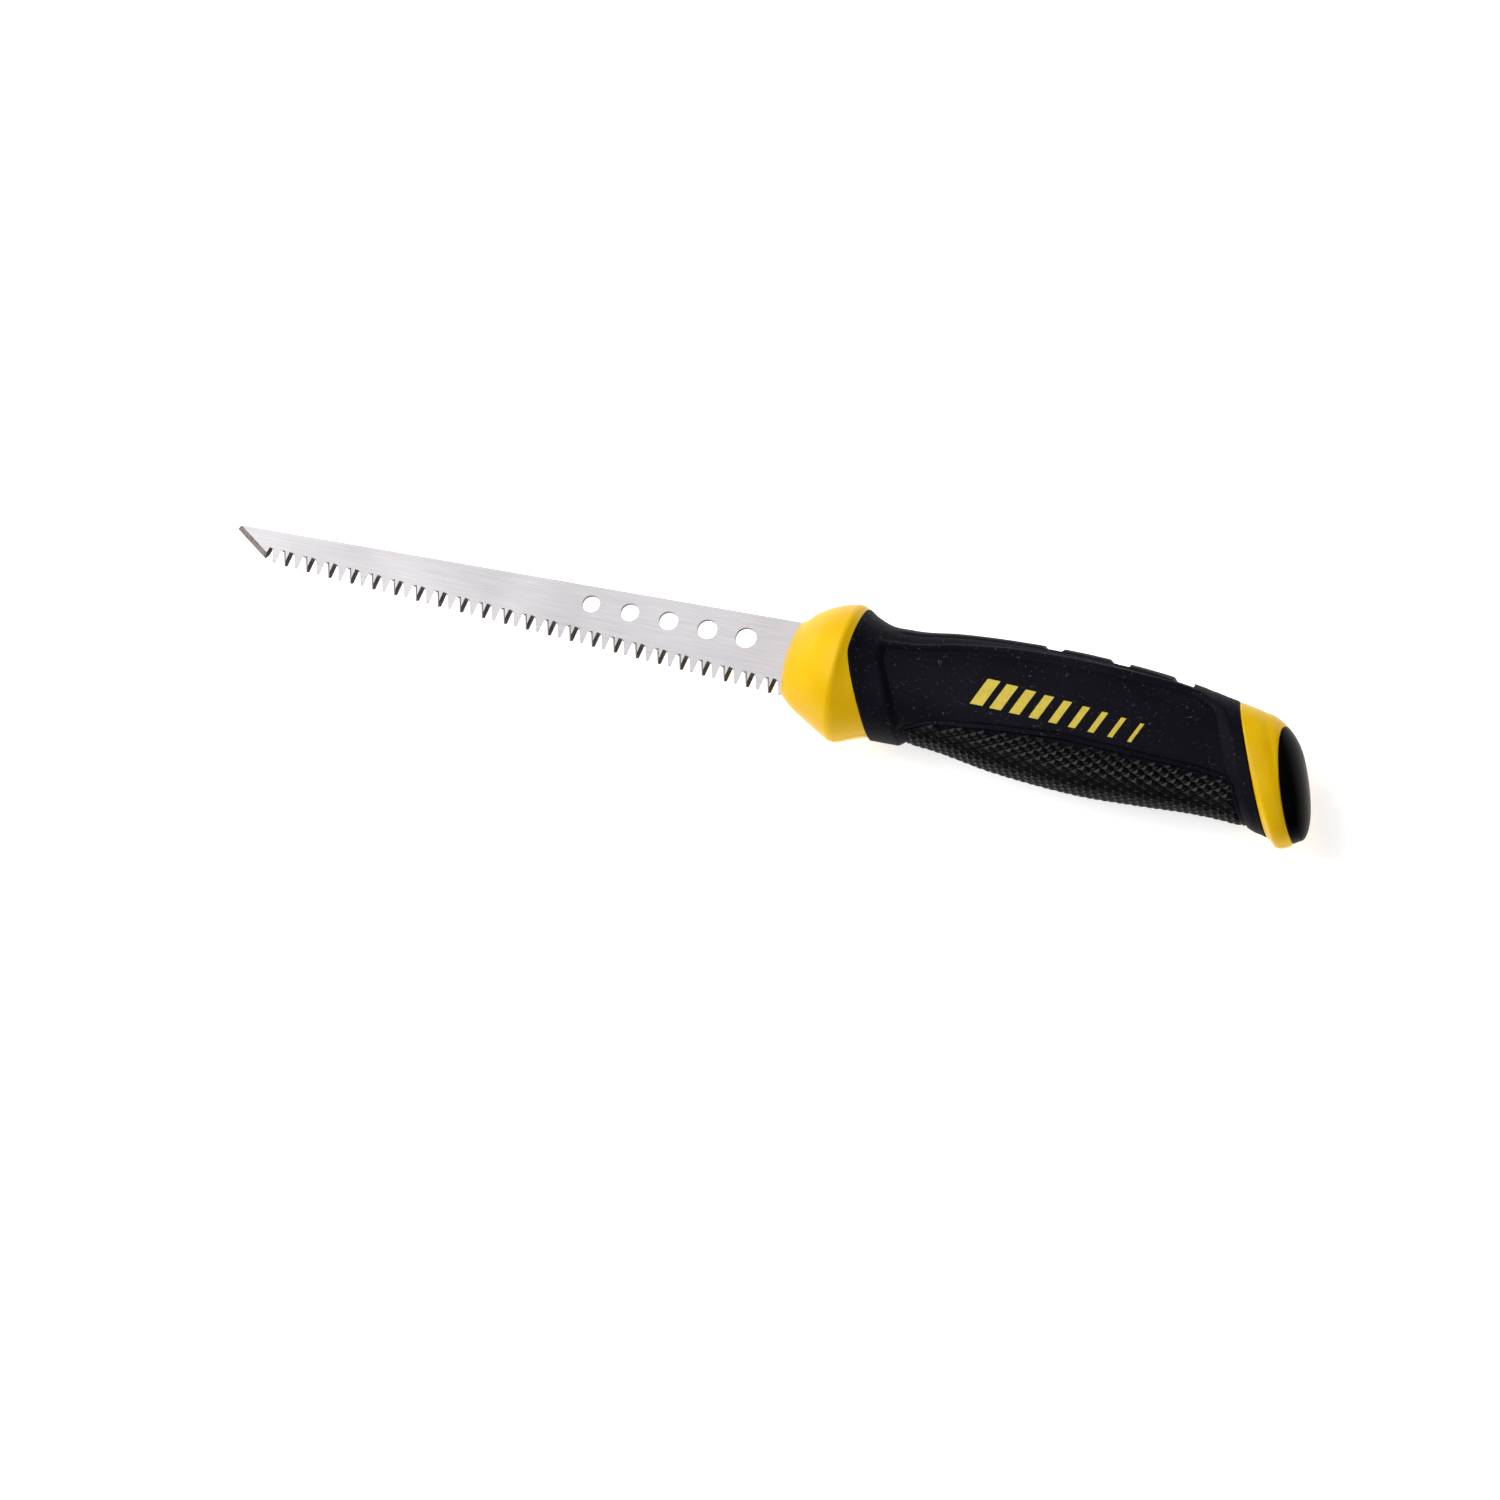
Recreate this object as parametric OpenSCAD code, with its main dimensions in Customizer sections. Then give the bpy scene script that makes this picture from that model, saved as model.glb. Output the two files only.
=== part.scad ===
// Drywall saw with a pierced steel blade and an overmoulded handle.
// Built with the blade hole nearest the collar on y = 0 and the blade's mid-plane on z = 0,
// then moved so that the origin is at the middle of the bounding box's base.

/* [Blade] */
// Steel in front of the collar
blade_length = 159; // [145:1:175]
// Steel thickness
blade_thickness = 1.2; // [0.9:0.1:1.5]
// Distance from tooth to tooth
tooth_pitch = 3.175; // [2.8:0.025:3.6]
// Height of a tooth above its gullet
tooth_height = 3.8; // [3:0.1:4.2]
// Radius of the largest hole, nearest the collar
hole_radius = 2.9; // [2:0.1:3.4]
// Distance from hole to hole
hole_spacing = 11.03; // [9:0.01:13]
// How much smaller each hole's radius is than the last
hole_step = 0.12; // [0:0.01:0.2]

/* [Handle] */
// Thickness of the soft sleeve
sleeve_thickness = 3; // [2.6:0.1:3.6]
// Depth of the side panels
panel_depth = 1.3; // [0.6:0.1:1.5]
// Depth of the thumb grooves along the top
groove_depth = 1; // [0.4:0.1:1.2]
// Height of the diamond texture
texture_height = 0.5; // [0.2:0.1:0.7]
// Length of one diamond
diamond_length = 4.2; // [3.6:0.2:5]

/* [Tang] */
// Length of tang inside the handle
tang_length = 95; // [90:1:100]
// Radius of the pins through the tang
pin_radius = 2; // [1.5:0.1:2.5]

/* [Hidden] */

$fn = 48;
gap = 0.05;
ridge_x = 15.7;
sleeve_front = 17.7;
sleeve_rear = 130.3;
cap_x = 138;
cap_length = 8;
panel_front = 26.9;
panel_rear = 125.5;

// Handle sections from the mouth to the ridge: place, top, bottom, half width, power
nose_rows = [
    [0, 7.8, -13.4, 2.2, 2.6],
    [0.6, 8.1, -14, 4, 2.4],
    [2, 8.8, -15.2, 6.6, 2.2],
    [4, 10.9, -16.6, 9, 2.1],
    [8, 13.4, -18.8, 12.6, 2],
    [12, 15, -21, 15, 1.95],
    [15.7, 15.9, -22.9, 16.7, 1.9]
];
// Handle sections from the ridge to the butt
grip_rows = [
    [15.7, 15.9, -22.9, 16.7, 1.9],
    [17.5, 14.9, -22.7, 15.6, 1.92],
    [20, 13.3, -21.5, 14.6, 1.95],
    [23, 12.2, -20.1, 13.9, 2],
    [26, 11.6, -19.1, 13.4, 2.1],
    [30, 11.3, -18.8, 13.2, 2.2],
    [35, 11.5, -18.6, 13.1, 2.3],
    [45, 13, -19.2, 13.4, 2.4],
    [60, 14.2, -21.4, 13.9, 2.5],
    [80, 15, -22.6, 14.1, 2.5],
    [95, 14.9, -21.8, 13.9, 2.5],
    [110, 14.3, -20.8, 13.3, 2.4],
    [122, 13.1, -21.2, 12.4, 2.3],
    [130.3, 12, -23.1, 12.1, 2.2],
    [133.3, 11.5, -25.2, 12.3, 2.2],
    [135.5, 11.1, -24.2, 12, 2.2],
    [138, 10.5, -22.4, 11.3, 2.2]
];
// Height of the panel's upper rim and of the texture's upper edge, as parts of the half height
rim_rows = [[17, 0.42], [27, 0.48], [40, 0.56], [47, 0.62], [59, 0.7], [71, 0.74],
            [94, 0.76], [105, 0.77], [117, 0.8], [122, 0.76], [125, 0.69], [131, 0.6]];
texture_rows = [[17, -0.95], [27, -0.91], [40, -0.74], [51, -0.64], [60, -0.54], [73, -0.44],
                [80, -0.41], [91, -0.44], [109, -0.49], [123, -0.49], [131, -0.5]];

function clamped(a) = min(1, max(0, a));
function ease(a) = let (b = clamped(a)) b * b * (3 - 2 * b);
function mix(a, b, f) = a + (b - a) * f;

// A smooth curve through the rows, read at t from one column
function row_at(rows, t, i = 0) =
    i >= len(rows) - 2 || t < rows[i + 1][0] ? i : row_at(rows, t, i + 1);
function row_slope(rows, i, c) =
    let (a = max(0, i - 1), b = min(len(rows) - 1, i + 1))
    (rows[b][c] - rows[a][c]) / (rows[b][0] - rows[a][0]);
function curve(rows, t, c = 1) =
    let (i = row_at(rows, t))
    let (span = rows[i + 1][0] - rows[i][0])
    let (f = clamped((t - rows[i][0]) / span))
    let (f2 = f * f)
    let (f3 = f2 * f)
    rows[i][c] * (2 * f3 - 3 * f2 + 1)
    + row_slope(rows, i, c) * span * (f3 - 2 * f2 + f)
    + rows[i + 1][c] * (3 * f2 - 2 * f3)
    + row_slope(rows, i + 1, c) * span * (f3 - f2);

// [top, bottom, half width, power] of the handle at t
function table_section(rows, t) = [for (c = [1:4]) curve(rows, t, c)];
function cap_section(t) =
    let (s = sqrt(max(0, 1 - pow((t - cap_x) / cap_length, 2))))
    let (last = grip_rows[len(grip_rows) - 1])
    let (mid = 0.9 - 6.85 * s)
    let (half = (last[1] - last[2]) / 2 * s)
    [mid + half, mid - half, last[3] * s, last[4]];
function section(t) =
    t < ridge_x ? table_section(nose_rows, t)
    : t <= cap_x ? table_section(grip_rows, t)
    : cap_section(t);

// The butt's sections lean back
function lean(t) = 0.508 * ease((t - 35) / 90);
function dome(t) = 1.5 * pow(1 - clamped(t / 8), 2);
function signed_power(a, e) = sign(a) * pow(abs(a), e);
// A point of the handle at t, angle a round the section, raised by up
function skin(t, a, up = 0) =
    let (s = section(t))
    let (e = 2 / s[3])
    let (v = signed_power(sin(a), e))
    let (y = (s[0] + s[1]) / 2 + ((s[0] - s[1]) / 2 + up) * v)
    [t - lean(t) * (y + 3) - dome(t) * (1 - v * v), y, (s[2] + up) * signed_power(cos(a), e)];
function height_angle(t, v) = let (s = section(t)) asin(signed_power(v, s[3] / 2));

// The sleeve's front edge slants back below the blade's line, and its rear edge tilts a little
function front_shift(a) =
    let (y = skin(20, a)[1])
    0.42 * max(0, -2 - y) - 0.3 * ease((y - 8) / 8);
function sleeve_t(t, a) =
    t + front_shift(a) * (1 - ease((t - panel_front) / 33)) + 0.55 * sin(a) * ease((t - 125) / 5);
function pad_t(a) =
    140.5 + 3.1 * sin(a) - 1.6 * abs(cos(a)) + 0.9 * pow(max(0, sin(a)), 8);

// Angles of one ring, bottom to top, with lines along the texture's edge and the panel's rim
low_steps = 12;
panel_steps = 5;
top_steps = 5;
edge_turn = 2.5;
function half_angles(t) =
    let (b = height_angle(t, curve(texture_rows, t)))
    let (c = height_angle(t, curve(rim_rows, t)))
    concat(
        [for (i = [0:low_steps]) [mix(-90, b - edge_turn, i / low_steps), 0]],
        [for (i = [0:panel_steps]) [mix(b + edge_turn, c - edge_turn, i / panel_steps), 1]],
        [for (i = [0:top_steps]) [mix(c + edge_turn, 90, i / top_steps), 2]]);
function full_angles(t) =
    let (h = half_angles(t))
    let (n = len(h))
    concat(h, [for (i = [n - 2:-1:1]) [180 - h[i][0], h[i][1]]]);

// A closed tube through rings of equal length, joined end to end
module ring_tube(rings) {
    n = len(rings[0]);
    m = len(rings);
    points = [for (r = rings) each r];
    faces = [for (k = [0:m - 1]) for (j = [0:n - 1])
        let (k2 = (k + 1) % m)
        let (j2 = (j + 1) % n)
        each [[k * n + j, k2 * n + j2, k2 * n + j], [k * n + j, k * n + j2, k2 * n + j2]]];
    polyhedron(points, faces);
}
// A solid through rings of equal length, closed by a point at each end
module ring_solid(rings, start, finish) {
    n = len(rings[0]);
    m = len(rings);
    points = concat([for (r = rings) each r], [start, finish]);
    sides = [for (k = [0:m - 2]) for (j = [0:n - 1])
        let (j2 = (j + 1) % n)
        each [[k * n + j, (k + 1) * n + j2, (k + 1) * n + j],
              [k * n + j, k * n + j2, (k + 1) * n + j2]]];
    ends = [for (j = [0:n - 1])
        let (j2 = (j + 1) % n)
        each [[m * n, j2, j], [m * n + 1, (m - 1) * n + j, (m - 1) * n + j2]]];
    polyhedron(points, concat(sides, ends));
}

core_points = 40;
core_angles = [for (j = [0:core_points - 1]) -90 + 360 * j / core_points];
nose_places = [0, 0.6, 1.4, 2.6, 4.2, 6.4, 9, 12.2, 14.6, 15.7, 16.8, 18];
spine_places = [30, 50, 75, 100, 118];
nose_end = 18;
pad_depth = 4;
butt_parts = [0, 0.2, 0.37, 0.52, 0.76, 1];
function nose_t(t, a) =
    t <= ridge_x ? t
    : mix(ridge_x, sleeve_t(sleeve_front, a), (t - ridge_x) / (nose_end - ridge_x));
// The pad's socket: a ring r times the rim's size, moved back by deep
function socket_ring(r, deep) = [for (a = core_angles)
    let (rim = skin(pad_t(a), a))
    [rim[0] - deep, mix(-6, rim[1], r), rim[2] * r]];
module core_body() {
    nose = [for (t = nose_places) [for (a = core_angles) skin(nose_t(t, a), a)]];
    spine = [for (t = concat([sleeve_front], spine_places, [sleeve_rear]))
        [for (a = core_angles) skin(sleeve_t(t, a), a, -sleeve_thickness)]];
    butt = [for (f = butt_parts)
        [for (a = core_angles) skin(mix(sleeve_t(sleeve_rear, a), pad_t(a), f), a)]];
    socket = [socket_ring(0.8, 0), socket_ring(0.76, pad_depth)];
    ring_solid(concat(nose, spine, butt, socket), [-1.5, -3, 0], [139, -6, 0]);
}

// Sleeve: outer skin from front to rear, then the bore back to the front
groove_centres = [70.4, 89, 106.6];
groove_half = 2.2;
texture_front = 28;
texture_rear = 123;
front_places = [17.7, 18.4, 19.6, 23, 26.1];
rear_places = [124.7, 126.3, 128.5, 130.3];
sleeve_places = concat(front_places, [for (t = [texture_front:diamond_length / 2:texture_rear]) t],
                       rear_places);
bore_places = [130.3, 118, 100, 75, 50, 30, 17.7];
function panel_at(t) =
    ease((t - panel_front + 0.7) / 1.4) * (1 - ease((t - panel_rear + 0.7) / 1.4));
function lip(t, a) =
    (0.3 + 0.7 * pow(max(0, -sin(a)), 2)) * ease((t - sleeve_front) / 1.5)
    * (1 - ease((t - 120) / 9));
function groove_at(t, a) =
    let (x = t - lean(t) * 18)
    let (across = sin(a) < 0 ? 0 : 1 - ease((abs(cos(a)) - 0.35) / 0.2))
    across * max([for (c = groove_centres) 1 - ease((abs(x - c) - groove_half) / 1)]);
function texture_at(t) = ease((t - texture_front) / 1.5) * (1 - ease((t - texture_rear + 1) / 1.5));
// How far the outer skin stands proud at ring k, point j; zone 0 is texture, 1 is panel
function sleeve_up(t, k, j, a, zone) =
    lip(t, a)
    - groove_depth * groove_at(t, a)
    - (zone < 2 ? panel_depth * panel_at(t) : 0)
    - (zone == 0 ? texture_height * texture_at(t) * ((k + j) % 2) : 0);
module sleeve_body() {
    outer = [for (k = [0:len(sleeve_places) - 1])
        let (t = sleeve_places[k])
        let (h = full_angles(t))
        [for (j = [0:len(h) - 1])
            skin(sleeve_t(t, h[j][0]), h[j][0], sleeve_up(t, k, j, h[j][0], h[j][1]))]];
    bore = [for (t = bore_places)
        [for (h = full_angles(t))
            skin(sleeve_t(t, h[0]), h[0], gap - sleeve_thickness)]];
    ring_tube(concat(outer, bore));
}

// Butt pad: a domed cap with a shallow plug behind it
pad_rings = [0.98, 0.93, 0.84, 0.7, 0.52, 0.3, 0.1];
function pad_skin(a, f) =
    let (s = sqrt(1 - pow((pad_t(a) - cap_x) / cap_length, 2)) * f)
    skin(cap_x + cap_length * sqrt(1 - s * s), a);
module pad_body() {
    plug = [socket_ring(0.75, pad_depth - gap), socket_ring(0.79, -gap)];
    rim = [for (a = core_angles) let (p = skin(pad_t(a), a)) [p[0] + gap, p[1], p[2]]];
    domed = [for (f = pad_rings) [for (a = core_angles) pad_skin(a, f)]];
    ring_solid(concat(plug, [rim], domed), [139 + gap, -6, 0], skin(cap_x + cap_length, 0));
}

// Blade outline, without teeth; the tooth line drops slowly towards the collar
tip_x = -blade_length;
tooth_turn = -2.3;
tooth_line_x = tip_x + 10.86;
tooth_line_y = -3.95;
tooth_count = floor((blade_length - 9.5) / tooth_pitch);
tip_corner = [tip_x, -0.5];
tip_heel = [tip_x + 10, -7.2];
// One tooth as parts of pitch and height: base, point, end of the third facet, base
tooth_shape = [[0.02, 0], [0.46, 1], [0.72, 0.93], [0.84, 0]];
tang_front = 12;
tang_top = 4.5;
tang_bottom = -9;
pin_places = [26, 58, tang_length - 7];
pin_y = -2.5;
pin_half_length = 8;
function tooth_points(k) =
    [for (p = tooth_shape) [(k + p[0]) * tooth_pitch, -p[1] * tooth_height]];
function on_tooth_line(p) = [
    tooth_line_x + p[0] * cos(tooth_turn) - p[1] * sin(tooth_turn),
    tooth_line_y + p[0] * sin(tooth_turn) + p[1] * cos(tooth_turn)];
module blade_outline() {
    teeth = [for (k = [0:tooth_count - 1]) for (p = tooth_points(k)) on_tooth_line(p)];
    polygon(concat(
        [[tang_front, tang_bottom], [tang_length - 4, tang_bottom + 2],
         [tang_length, tang_bottom + 5], [tang_length, tang_top - 4],
         [tang_length - 4, tang_top - 1], [tang_front + 3, tang_top], [tang_front, 7.9], [0, 7.6],
         [tip_x + 1.6, 0.6], [tip_x + 0.5, 0.3], tip_corner, tip_heel],
        teeth));
}

// Widths of the ground faces: a tooth's flanks facing the tip and the handle, the heel and the tip
front_grind = 0.6;
back_grind = 0.85;
heel_grind = 0.8;
tip_grind_width = 1.4;
grind_over = 0.02;
// A sliver that grinds one flank: nothing at the far face, width at the near face
module flank_cut(from, to, width, before, after) {
    run = norm(to - from);
    turn = atan2(to[1] - from[1], to[0] - from[0]);
    half = blade_thickness / 2;
    translate([from[0], from[1], 0])
        rotate([0, 0, turn])
            rotate([90, 0, 90])
                translate([0, 0, -before])
                    linear_extrude(height = before + run + after)
                        polygon([[0, -half - grind_over], [width, half + grind_over],
                                 [-0.25, half + grind_over], [-0.25, -half - grind_over]]);
}
module tooth_grinds() {
    translate([tooth_line_x, tooth_line_y, 0])
        rotate(tooth_turn)
            for (k = [0:tooth_count - 1]) {
                p = tooth_points(k);
                mirror([0, 0, 1 - k % 2]) flank_cut(p[0], p[1], front_grind, 0.1, 1);
                mirror([0, 0, 1 - k % 2]) flank_cut(p[2], p[3], back_grind, 1.5, 0.2);
            }
}
// The slanted tip is ground from both sides
module tip_grind() {
    for (side = [0, 1])
        mirror([0, 0, side])
            translate([tip_corner[0], tip_corner[1], 0])
                rotate([0, 0, atan2(tip_heel[1] - tip_corner[1], tip_heel[0] - tip_corner[0])])
                    rotate([90, 0, 90])
                        translate([0, 0, -2])
                            linear_extrude(height = norm(tip_heel - tip_corner) + 4)
                                polygon([[-1, 0.1], [0, 0.1],
                                         [tip_grind_width, blade_thickness / 2 + grind_over],
                                         [-1, blade_thickness / 2 + grind_over]]);
}
module pin_row(radius, height) {
    for (x = pin_places)
        translate([x, pin_y, 0]) cylinder(r = radius, h = height, center = true);
}
module toothed_plate() {
    difference() {
        linear_extrude(height = blade_thickness, center = true) blade_outline();
        for (k = [0:4])
            translate([-14 - k * hole_spacing, 0, 0])
                cylinder(r = hole_radius - k * hole_step, h = blade_thickness + 1, center = true);
        pin_row(pin_radius + gap, blade_thickness + 1);
        tooth_grinds();
    }
}
module blade_shape() {
    color("Gainsboro")
        difference() {
            difference() {
                toothed_plate();
                tip_grind();
            }
            flank_cut(tip_heel, on_tooth_line(tooth_points(0)[0]), heel_grind, 0.4, 0);
        }
}

// Half of the core on side +1 or -1, with its share of the tang slot and the pin holes
slot_half = blade_thickness / 2 + gap;
module core_half(side) {
    difference() {
        intersection() {
            core_body();
            translate([-20, -60, side > 0 ? 0 : -60]) cube([200, 120, 60]);
        }
        translate([0, 0, -slot_half])
            linear_extrude(height = 2 * slot_half)
                polygon([[-5, 7.65], [0, 7.65], [tang_front + 0.5, 8], [tang_front + 4, tang_top + 0.1],
                         [tang_length + 0.2, tang_top], [tang_length + 0.2, tang_bottom + 1],
                         [tang_front + 1, tang_bottom - 0.1], [tang_front, -10], [0, -13.5], [-5, -13.3]]);
        pin_row(pin_radius + gap, 2 * (pin_half_length + gap));
    }
}
module core_left_shape() { color("Gold") core_half(1); }
module core_right_shape() { color("Goldenrod") core_half(-1); }
module tang_pin(k) {
    color("Silver")
        translate([pin_places[k], pin_y, 0])
            cylinder(r = pin_radius, h = 2 * pin_half_length, center = true);
}
module tang_pin_front_shape() { tang_pin(0); }
module tang_pin_middle_shape() { tang_pin(1); }
module tang_pin_rear_shape() { tang_pin(2); }
module grip_sleeve_shape() { color("DimGray") sleeve_body(); }
module butt_pad_shape() { color("Black") pad_body(); }

// Move everything so that the origin is at the middle of the bounding box's base
butt_x = max([for (f = pad_rings) for (a = core_angles) pad_skin(a, f)[0]]);
heel_y = min([for (f = butt_parts) skin(mix(sleeve_t(sleeve_rear, -90), pad_t(-90), f), -90)[1]]);
crown_y = skin(ridge_x, 90)[1];
half_width = skin(ridge_x, 0)[2];
module placed() {
    translate([(blade_length - butt_x) / 2, -(crown_y + heel_y) / 2, half_width]) children();
}
module blade() { placed() blade_shape(); }
module core_left() { placed() core_left_shape(); }
module core_right() { placed() core_right_shape(); }
module tang_pin_front() { placed() tang_pin_front_shape(); }
module tang_pin_middle() { placed() tang_pin_middle_shape(); }
module tang_pin_rear() { placed() tang_pin_rear_shape(); }
module grip_sleeve() { placed() grip_sleeve_shape(); }
module butt_pad() { placed() butt_pad_shape(); }

blade();
core_left();
core_right();
tang_pin_front();
tang_pin_middle();
tang_pin_rear();
grip_sleeve();
butt_pad();
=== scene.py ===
import math
import bpy
import bmesh
import numpy as np
from mathutils import Matrix, Vector


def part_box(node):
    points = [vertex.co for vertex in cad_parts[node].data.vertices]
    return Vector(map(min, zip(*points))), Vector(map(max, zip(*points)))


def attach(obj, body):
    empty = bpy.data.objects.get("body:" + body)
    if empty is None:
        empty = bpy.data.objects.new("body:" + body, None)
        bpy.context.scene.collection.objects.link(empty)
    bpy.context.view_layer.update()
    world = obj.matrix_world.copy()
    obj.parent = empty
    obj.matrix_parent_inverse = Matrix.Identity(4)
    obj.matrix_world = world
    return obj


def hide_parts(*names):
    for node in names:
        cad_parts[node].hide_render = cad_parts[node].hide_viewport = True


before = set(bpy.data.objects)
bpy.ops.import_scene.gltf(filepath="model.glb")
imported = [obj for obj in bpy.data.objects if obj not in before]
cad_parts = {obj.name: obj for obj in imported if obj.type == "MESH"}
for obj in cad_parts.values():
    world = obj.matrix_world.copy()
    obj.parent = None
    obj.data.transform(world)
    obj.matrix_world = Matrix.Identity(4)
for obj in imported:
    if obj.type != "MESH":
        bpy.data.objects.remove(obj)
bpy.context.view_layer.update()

print("frame loaded")

# Shapes are worked out in millimetres: x from the collar's mouth towards the butt,
# y up to the blade's back, z out of the blade's face. Then they go to the frame's metres.
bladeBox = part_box("blade")
homeMm = np.array([
    bladeBox[0][0] * 1000 + 159,
    bladeBox[1][1] * 1000 - 7.9,
    (bladeBox[0][2] + bladeBox[1][2]) * 500,
])


def toFrame(pointsMm):
    return (np.asarray(pointsMm, float) + homeMm) / 1000


def linearColour(hexValue, alpha=1.0):
    parts = [int(hexValue[i:i + 2], 16) / 255 for i in (1, 3, 5)]
    parts = [p / 12.92 if p <= 0.04045 else ((p + 0.055) / 1.055) ** 2.4 for p in parts]
    return (*parts, alpha)


def addNode(tree, kind, settings=None, links=None):
    node = tree.nodes.new(kind)
    for key, value in (settings or {}).items():
        if isinstance(key, int) or key in node.inputs.keys():
            node.inputs[key].default_value = value
        else:
            setattr(node, key, value)
    for key, source in (links or {}).items():
        tree.links.new(source, node.inputs[key])
    return node


def newMaterial(name, settings):
    material = bpy.data.materials.new(name)
    material.use_nodes = True
    tree = material.node_tree
    shader = tree.nodes["Principled BSDF"]
    for key, value in settings.items():
        shader.inputs[key].default_value = value
    place = addNode(tree, "ShaderNodeTexCoord").outputs["Object"]
    return material, tree, shader, place


def rampOf(tree, source, stops):
    ramp = addNode(tree, "ShaderNodeValToRGB", links={"Fac": source})
    points = ramp.color_ramp.elements
    while len(points) < len(stops):
        points.new(0.5)
    for point, (where, colour) in zip(points, stops):
        point.position = where
        point.color = colour if isinstance(colour, tuple) else (colour, colour, colour, 1)
    return ramp.outputs["Color"]


# ---- materials ----
# Hardened spring steel, rolled and ground lengthwise: pale, silky, with fine streaks along the blade
steelLook = {"colour": "#BDBABD", "streak": "#ACA9AC", "roughness": 0.45, "metal": 0.7,
             "streakWidth": 0.16, "streakLength": 14}


def rolledSteel():
    v = steelLook
    material, tree, shader, place = newMaterial("springSteelRolled", {
        "Metallic": v["metal"], "Roughness": v["roughness"], "Base Color": linearColour(v["colour"])})
    turned = addNode(tree, "ShaderNodeMapping", {"Rotation": (0, 0, math.radians(-1)),
                     "Scale": (1000 / v["streakLength"], 1000 / v["streakWidth"], 400)},
                     {"Vector": place})
    streak = addNode(tree, "ShaderNodeTexNoise", {"Scale": 1, "Detail": 3, "Roughness": 0.6},
                     {"Vector": turned.outputs[0]})
    cloud = addNode(tree, "ShaderNodeTexNoise", {"Scale": 45, "Detail": 2}, {"Vector": place})
    blend = addNode(tree, "ShaderNodeMix", {"data_type": "RGBA", "blend_type": "MIX"},
                    {"Factor": rampOf(tree, streak.outputs[0], [(0.36, 1.0), (0.62, 0.0)])})
    blend.inputs[6].default_value = linearColour(v["colour"])
    blend.inputs[7].default_value = linearColour(v["streak"])
    tree.links.new(blend.outputs[2], shader.inputs["Base Color"])
    rough = addNode(tree, "ShaderNodeMapRange", {"To Min": v["roughness"] - 0.08,
                    "To Max": v["roughness"] + 0.1}, {"Value": cloud.outputs[0]})
    tree.links.new(rough.outputs[0], shader.inputs["Roughness"])
    bump = addNode(tree, "ShaderNodeBump", {"Strength": 0.12, "Distance": 0.00004},
                   {"Height": streak.outputs[0]})
    tree.links.new(bump.outputs[0], shader.inputs["Normal"])
    return material


# The same steel freshly ground by a wheel, mirror-like: its dark base colour is painted dark reflection and
# shade on the teeth, tip, edges and hole walls; the fine darker lines are grinding scratches
toothPaintedDarkLook = {"colour": "#6E665F", "scratch": "#34302C", "roughness": 0.4, "metal": 0.4, "scratchWidth": 0.12}
tipPaintedDarkLook = {"colour": "#857D7A", "scratch": "#453F3D", "roughness": 0.35, "metal": 0.6, "scratchWidth": 0.2}


def groundSteelPaintedDark(name, look):
    v = look
    material, tree, shader, place = newMaterial(name, {
        "Metallic": v["metal"], "Roughness": v["roughness"], "Base Color": linearColour(v["colour"])})
    scaled = addNode(tree, "ShaderNodeMapping", {"Rotation": (0, 0, math.radians(55)),
                     "Scale": (1000 / v["scratchWidth"], 900, 900)}, {"Vector": place})
    lines = addNode(tree, "ShaderNodeTexNoise", {"Scale": 1, "Detail": 2}, {"Vector": scaled.outputs[0]})
    colour = rampOf(tree, lines.outputs[0], [(0.3, linearColour(v["scratch"])),
                                             (0.7, linearColour(v["colour"]))])
    tree.links.new(colour, shader.inputs["Base Color"])
    bump = addNode(tree, "ShaderNodeBump", {"Strength": 0.2, "Distance": 0.00003},
                   {"Height": lines.outputs[0]})
    tree.links.new(bump.outputs[0], shader.inputs["Normal"])
    return material


# Injection moulded ABS in signal yellow: smooth, softly glossy, a faint waviness from the mould
yellowLook = {"colour": "#FBC900", "deep": "#F4BF00", "roughness": 0.32, "wave": 12}


def mouldedAbs():
    v = yellowLook
    material, tree, shader, place = newMaterial("absMouldedYellow", {
        "Roughness": v["roughness"], "Specular IOR Level": 0.16, "Base Color": linearColour(v["colour"])})
    wave = addNode(tree, "ShaderNodeTexNoise", {"Scale": 1000 / v["wave"], "Detail": 2}, {"Vector": place})
    colour = rampOf(tree, wave.outputs[0], [(0.3, linearColour(v["deep"])),
                                            (0.65, linearColour(v["colour"]))])
    tree.links.new(colour, shader.inputs["Base Color"])
    fine = addNode(tree, "ShaderNodeTexNoise", {"Scale": 1400, "Detail": 2}, {"Vector": place})
    rough = addNode(tree, "ShaderNodeMapRange", {"To Min": v["roughness"] - 0.05,
                    "To Max": v["roughness"] + 0.1}, {"Value": fine.outputs[0]})
    tree.links.new(rough.outputs[0], shader.inputs["Roughness"])
    bump = addNode(tree, "ShaderNodeBump", {"Strength": 0.05, "Distance": 0.00005},
                   {"Height": fine.outputs[0]})
    tree.links.new(bump.outputs[0], shader.inputs["Normal"])
    return material


# Thermoplastic rubber moulded over the core: blue-black, dull, with a fine spark grain, dust and rub marks
sleeveLook = {"colour": "#0A0A13", "worn": "#12121C", "dust": "#4A4950", "roughness": 0.55, "shine": 0.06,
              "grain": 0.18, "speck": 1.1, "hair": 0.008}


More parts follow.
